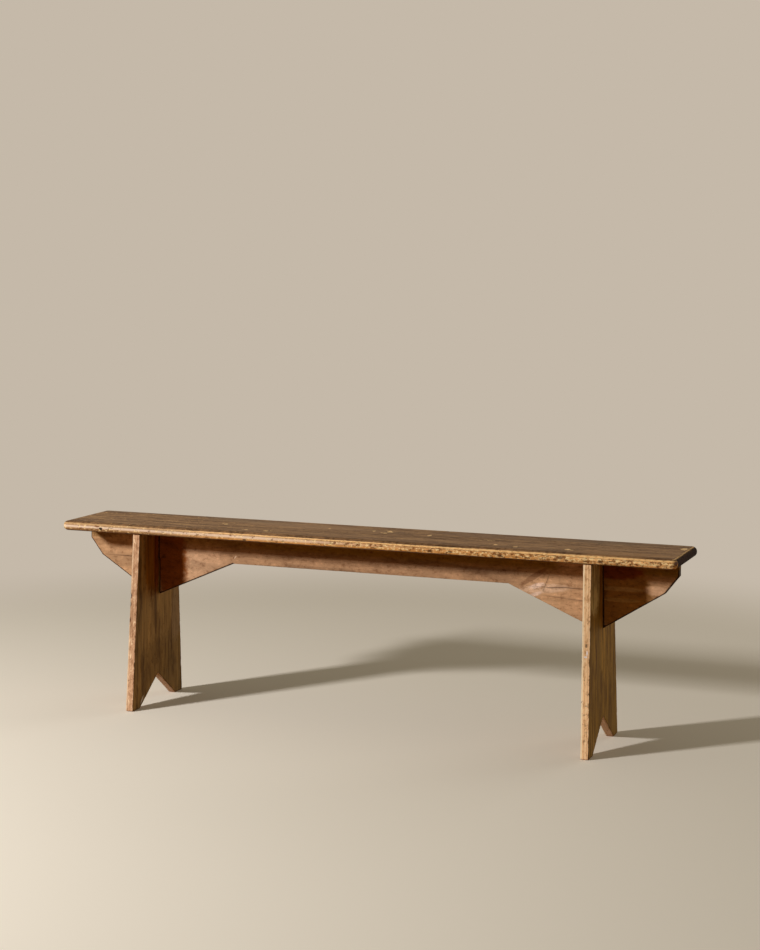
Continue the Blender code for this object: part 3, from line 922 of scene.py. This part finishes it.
def seat_material():
    """Dark grey-brown film on the top, worn through to tan wood along the rounded edges."""
    wood = Surface(bpy.data.materials.new("seat_wood"))
    grain = grain_axes(wood, "XYZ")
    figure = wood_figure(wood, grain, (0.02, 0.4), 0.0045, 3.0)
    rings, fibres = figure[:2]
    share = figure_share(wood, figure)
    x, y, z = wood.parts(wood.position)
    film, short_streaks, hairlines = seat_film(wood, rings, x, y)
    tan, pits = seat_tan(wood, share, x, z)

    ragged = wood.noise((60, 120, 120), 4, 0.65)
    ragged = wood.linear(wood.ramp(x, 0.1, 0.6), -0.6, ragged)
    from_edge = wood.linear(ragged, 0.0026, wood.layer("from_edge"))
    from_edge = wood.linear(wood.ramp(x, -0.5, -0.62), -0.001, from_edge)
    far = wood.math("ABSOLUTE", x)
    front_corner = wood.scaled(wood.ramp(far, 0.7725, 0.7765), wood.ramp(y, -0.102, -0.094))
    worn = wood.scaled(wood.ramp(from_edge, 0.0044, 0.0037), wood.rest(front_corner))
    end_line = wood.band(from_edge, 0.0064, 0.0092, 0.001)
    end_line = wood.scaled(end_line, wood.ramp(far, 0.766, 0.77))
    end_line = wood.scaled(end_line, wood.ramp(z, 0.455, 0.458))
    left_film = wood.linear(wood.ramp(y, 0.04, 0.034), 0.35, 0.65)
    left_film = wood.scaled(wood.ramp(x, 0.0, -0.5), left_film)
    end_line = wood.scaled(end_line, wood.rest(left_film))
    worn = wood.math("MAXIMUM", worn, wood.scaled(end_line, 0.95))
    end = wood.ramp(far, 0.77, 0.775)
    film = wood.multiply(end, film, (80, 58, 38))
    colour = wood.mix(worn, film, tan)

    speck = wood.noise((170, 150, 150), 3, 0.65)
    torn = wood.linear(hairlines, 0.9, wood.linear(speck, 0.6, wood.layer("bare")))
    bare_wood = wood.brightened(tone(255, 216, 158)[:3], wood.linear(pits, -0.25, 1.0))
    bare_wood = wood.brightened(bare_wood, wood.linear(short_streaks, -0.5, 1.25))
    colour = wood.mix(wood.ramp(torn, 1.05, 1.17), colour, bare_wood)
    under = wood.ramp(z, *UNDERSIDE_EDGE)
    colour = wood.mix(under, colour, wood.mix(share, (150, 112, 74), (104, 72, 44)))
    stain = wood.linear(speck, 0.5, wood.layer("dark"))
    colour = wood.tinted(colour, stain, 0.45, 0.95, 0.85, (44, 28, 18))

    rough = wood.linear(hairlines, 0.2, 0.58)
    rough = wood.linear(worn, -0.2, rough)
    rough = wood.linear(pits, 0.2, rough)
    rough = wood.linear(wood.math("MAXIMUM", under, end), 0.25, rough)
    height = wood.linear(fibres, 0.35, wood.scaled(rings, 0.25))
    height = wood.linear(short_streaks, 0.35, height)
    height = wood.linear(worn, -0.25, height)
    height = wood.linear(wood.scaled(pits, worn), -0.8, height)
    return wood.finish(colour, rough, height, 0.0006, BOARD_GLOSS)


def leg_material(leg, seed, shade_side_tone, edge_pale, edge_deep, arris_highlight_share):
    """Dry olive-brown board with tan worn edges and fine streaks up the leg, with painted shade near the seat
    and the apron, a painted highlight on its left arris and painted bounce light on its foot notch.
    """
    wood = Surface(bpy.data.materials.new(leg + "_wood"))
    grain = leg_axes(wood, leg)
    figure = wood_figure(wood, grain, (0.03, 0.7 + seed), 0.0065, seed)
    rings, fibres = figure[:2]
    share = figure_share(wood, figure)
    across, y, z = wood.parts(wood.position)
    strands = wood.noise((90, 90, 6), 5, 0.68, (seed, 4, 2))
    cloud = wood.noise((34, 34, 9), 4, 0.65, (seed, 2, 5))
    # Painted warm shade light: the right face, seen in shade, takes a warmer, more saturated tone than the
    # left face.
    face = wood.changing(across, (176, 140, 100), (-0.003, 0.003, shade_side_tone))
    face = wood.brightened(face, wood.linear(share, -0.45, 1.22))
    face = wood.spotted(face, LEG_FACE_SPOTS[leg])
    face = wood.shaded(face, strands, 0.5, 0.64, 0.85, (176, 166, 146))
    face = wood.lightened(face, strands, 0.47, 0.36, 0.38)
    face = wood.shaded(face, cloud, 0.5, 0.62, 0.8, (196, 187, 170))
    from_edge = wood.layer("from_edge")
    rim = wood.linear(strands, -0.003, from_edge)
    face = wood.tinted(face, rim, 0.0035, 0.0008, 0.45, (92, 64, 34))

    blotch = wood.noise((150, 150, 60), 4, 0.72, (seed, 3, 7))
    edge = wood.mix(share, edge_pale, edge_deep)
    edge = wood.shaded(edge, blotch, 0.52, 0.62, 0.8, (196, 180, 164))
    edge = wood.tinted(edge, blotch, 0.45, 0.36, 0.6, (252, 226, 188))
    left_face = -LEG_THICKNESS / 2
    # Painted highlight: a pale line along the left arris of the leg's edges.
    painted_arris_highlight = wood.band(across, left_face + 0.0012, left_face + 0.0032, 0.001)
    edge = wood.over(edge, painted_arris_highlight, arris_highlight_share, (255, 238, 204))
    chipped = wood.linear(blotch, 0.012, across)
    edge = wood.tinted(edge, chipped, 0.015, 0.0158, 0.55, (104, 72, 40))
    edge = wood.lightened(edge, z, 0.24, 0.12, 0.16)
    edge = wood.spotted(edge, LEG_EDGE_SPOTS[leg])
    # Painted bounce light: the edge of the back foot's notch slope is made much paler.
    painted_notch_light = wood.scaled(wood.ramp(y, -0.01, 0.0), wood.ramp(z, 0.078, 0.072))
    edge = wood.over(edge, painted_notch_light, 0.65, (255, 244, 224))

    ragged = wood.noise((90, 90, 60), 4, 0.65, (seed, 1, 3))
    worn = wood.ramp(wood.linear(ragged, -0.003, from_edge), -0.0002, -0.001)
    speck = wood.noise((170, 170, 70), 3, 0.7, (seed, 6, 1))
    colour = wood.mix(worn, face, edge)
    colour = wood.tinted(colour, speck, 0.63, 0.7, 0.7, (86, 56, 32))
    colour = wood.over(colour, wood.layer("dark"), 0.85, (40, 26, 16))
    height = wood.linear(fibres, 0.6, wood.scaled(rings, 0.35))
    height = wood.linear(speck, -0.4, height)
    return wood.finish(colour, wood.linear(fibres, 0.2, 0.62), height, 0.0007, BOARD_GLOSS)


def apron_material():
    """Thin pinkish-brown wash over softwood, dry and matt, browner with painted shade where the seat and the
    legs shade it.
    """
    wood = Surface(bpy.data.materials.new("apron_wood"))
    grain = grain_axes(wood, "XZY")
    figure = wood_figure(wood, grain, (0.36, 0.5), 0.006, 11.0)
    rings, fibres = figure[:2]
    x, _, z = wood.parts(wood.position)
    wash = wood.changing(
        x, (170, 134, 102),
        (-0.34, -0.42, (195, 157, 124)),
        (-0.57, -0.6, (188, 150, 114)),
        (0.35, 0.42, (202, 162, 124)),
        (0.56, 0.6, (192, 150, 112)),
    )
    wash = wood.brightened(wash, wood.linear(figure_share(wood, figure), -0.4, 1.2))
    # Painted shadow of the seat: the upper band of the apron turns browner, except beside the legs, more
    # strongly to the right.
    left_leg = wood.scaled(wood.ramp(x, -0.56, -0.6), 0.6)
    near_leg = wood.math("MAXIMUM", wood.band(x, 0.5, 0.56, 0.04), left_leg)
    painted_seat_shadow = wood.scaled(wood.ramp(z, 0.397, 0.415), wood.rest(near_leg))
    strength = wood.linear(wood.ramp(x, -0.36, -0.2), 0.25, 0.65)
    face = wood.over(wash, painted_seat_shadow, strength, (147, 110, 26))
    face = wood.spotted(face, APRON_SPOTS)
    cloud = wood.noise((12, 34, 34), 5, 0.65, (2, 2, 5))
    face = wood.shaded(face, cloud, 0.5, 0.66, 0.75, (208, 200, 192))
    face = wood.lightened(face, cloud, 0.46, 0.34, 0.22)
    mottle = wood.noise((62, 90, 90), 5, 0.74, (5, 1, 4))
    face = wood.shaded(face, mottle, 0.52, 0.62, 0.8, (204, 192, 182))
    face = wood.lightened(face, mottle, 0.46, 0.36, 0.28)
    threads = wood.noise((14, 260, 260), 3, 0.62, (8, 3, 2))
    face = wood.shaded(face, threads, 0.54, 0.66, 0.28, (190, 176, 164))

    # Dirt and painted shade: a thin dark line along the lower arris of the apron's ends and of its left arch
    # slope, where the arris faces down.
    outer = wood.math("MAXIMUM", wood.ramp(x, 0.575, 0.59), wood.ramp(x, -0.58, -0.6))
    dark_arris_span = wood.math("MAXIMUM", wood.band(x, -0.575, -0.362, 0.012), outer)
    edge = wood.linear(mottle, -0.0014, wood.layer("from_edge"))
    edge = wood.ramp(wood.linear(dark_arris_span, -0.0026, edge), 0.0002, -0.0006)
    edge = wood.scaled(edge, wood.ramp(z, 0.432, 0.42))
    colour = wood.over(face, edge, 0.88, (46, 28, 16))
    leaning = wood.linear(z, LEAN, wood.math("ABSOLUTE", x))
    from_leg = wood.math("ABSOLUTE", wood.math("SUBTRACT", leaning, FOOT_REACH))
    joint = (LEG_THICKNESS / 2 + 0.0034, LEG_THICKNESS / 2 + 0.0018)
    colour = wood.tinted(colour, from_leg, *joint, 0.9, (30, 18, 10))
    colour = wood.over(colour, wood.layer("dark"), 0.8, (78, 46, 28))
    height = wood.linear(fibres, 0.6, wood.scaled(rings, 0.35))
    height = wood.linear(mottle, -0.3, height)
    return wood.finish(colour, wood.linear(fibres, 0.2, 0.66), height, 0.0006, APRON_GLOSS)


def nail_material():
    """Old iron, dark with brown rust."""
    iron = Surface(bpy.data.materials.new("nail_iron"))
    rust = iron.ramp(iron.noise((700, 700, 700), 3, 0.6), 0.42, 0.62)
    colour = iron.mix(rust, (66, 58, 54), (98, 54, 32))
    iron.put(iron.math("SUBTRACT", 0.9, rust), iron.tree.nodes["Principled BSDF"].inputs["Metallic"])
    return iron.finish(colour, iron.linear(rust, 0.35, 0.45), rust, 0.0002)


# Light, floor and camera. Each lamp has its place, size, power and colour
LAMP_AIM = Vector((0.0, 0.0, 0.41))
LAMPS = {
    "key": (Vector((-2.8, -3.2, 2.04)), (0.38, 0.46), 184.0, (1.0, 0.95, 0.89)),
    "back": (Vector((2.6, 4.0, 1.6)), (3.0, 2.4), 38.0, (1.0, 0.93, 0.84)),
}
FILL_LEVEL = 0.17
FILL_COLOUR = (1.0, 0.84, 0.56, 1.0)
BACKDROP = (197, 185, 169)
FLOOR_TONE = (252, 247, 238)
FLOOR_BOUNCE = (154, 108, 62)
FLOOR_RADIUS = 30.0
FLOOR_FADE = (1.5, 2.5)
CAMERA_PLACE = (1.6508, -4.045, 1.1247)
CAMERA_TILT = math.radians(83.214)
CAMERA_TURN = 0.38022
CAMERA_ROLL = 0.00279
CAMERA_LENS = 69.652


def make_world():
    """A pale backdrop, and even soft light from all round."""
    world = bpy.data.worlds.new("studio")
    bpy.context.scene.world = world
    sky = Surface(world)
    backdrop = sky.tree.nodes["Background"]
    backdrop.inputs["Color"].default_value = tone(*BACKDROP)
    fill_light = sky.add("Background", {"Strength": FILL_LEVEL})
    fill_light.node.inputs["Color"].default_value = FILL_COLOUR
    choice = sky.add("MixShader", {0: sky.seen_directly(), 1: fill_light, 2: backdrop.outputs[0]})
    sky.put(choice, sky.tree.nodes["World Output"].inputs["Surface"])


def floor_material():
    """Plain pale floor that fades into the backdrop far from the bench."""
    surface = Surface(bpy.data.materials.new("floor"))
    surface.tree.nodes.remove(surface.tree.nodes["Principled BSDF"])
    direct = surface.seen_directly()
    near = surface.add("BsdfDiffuse", {"Color": surface.mix(direct, FLOOR_BOUNCE, FLOOR_TONE)})
    far = surface.add("Emission", {"Color": BACKDROP})
    fade = surface.scaled(surface.ramp(surface.length(surface.position), *FLOOR_FADE), direct)
    both = surface.add("MixShader", {0: fade, 1: near, 2: far})
    surface.put(both, surface.tree.nodes["Material Output"].inputs["Surface"])
    return surface.owner


def make_floor():
    """A wide floor under the bench."""
    reach = FLOOR_RADIUS
    mesh = bpy.data.meshes.new("floor")
    corners = [(-reach, -reach, 0), (reach, -reach, 0), (reach, reach, 0), (-reach, reach, 0)]
    mesh.from_pydata(corners, [], [(0, 1, 2, 3)])
    mesh.materials.append(floor_material())
    floor = add_object("floor", mesh)


def make_lamp(name, place, size, power, colour):
    """A soft rectangular lamp that faces the bench."""
    light = bpy.data.lights.new(name, "AREA")
    light.shape = "RECTANGLE"
    light.size, light.size_y = size
    light.energy = power
    light.color = colour
    lamp = add_object(name, light)
    lamp.location = place
    lamp.rotation_euler = (place - LAMP_AIM).to_track_quat("Z", "Y").to_euler()
    lamp.visible_camera = False


def make_camera():
    """The camera at the photograph's place and angle."""
    data = bpy.data.cameras.new("camera")
    data.lens = CAMERA_LENS
    camera = add_object("camera", data)
    camera.location = CAMERA_PLACE
    aim = Euler((CAMERA_TILT, 0.0, CAMERA_TURN)).to_quaternion()
    roll = Quaternion((0.0, 0.0, 1.0), CAMERA_ROLL)
    camera.rotation_mode = "QUATERNION"
    camera.rotation_quaternion = aim @ roll
    bpy.context.scene.camera = camera


def dress(piece, node, material):
    """Puts a finished board in the place of its plain solid."""
    piece.data.materials.append(material)
    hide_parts(node)
    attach(piece, "root")


bpy.context.scene.view_settings.view_transform = "Standard"
dress(make_seat(), "seat_board", seat_material())
for leg, finish in LEG_FINISHES.items():
    dress(make_leg(leg), leg, leg_material(leg, *finish))
dress(make_apron(), "apron", apron_material())
iron = nail_material()
for nail in NAILS:
    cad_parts[nail].data.materials.clear()
    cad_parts[nail].data.materials.append(iron)
make_world()
make_floor()
for name, settings in LAMPS.items():
    make_lamp(name, *settings)
make_camera()
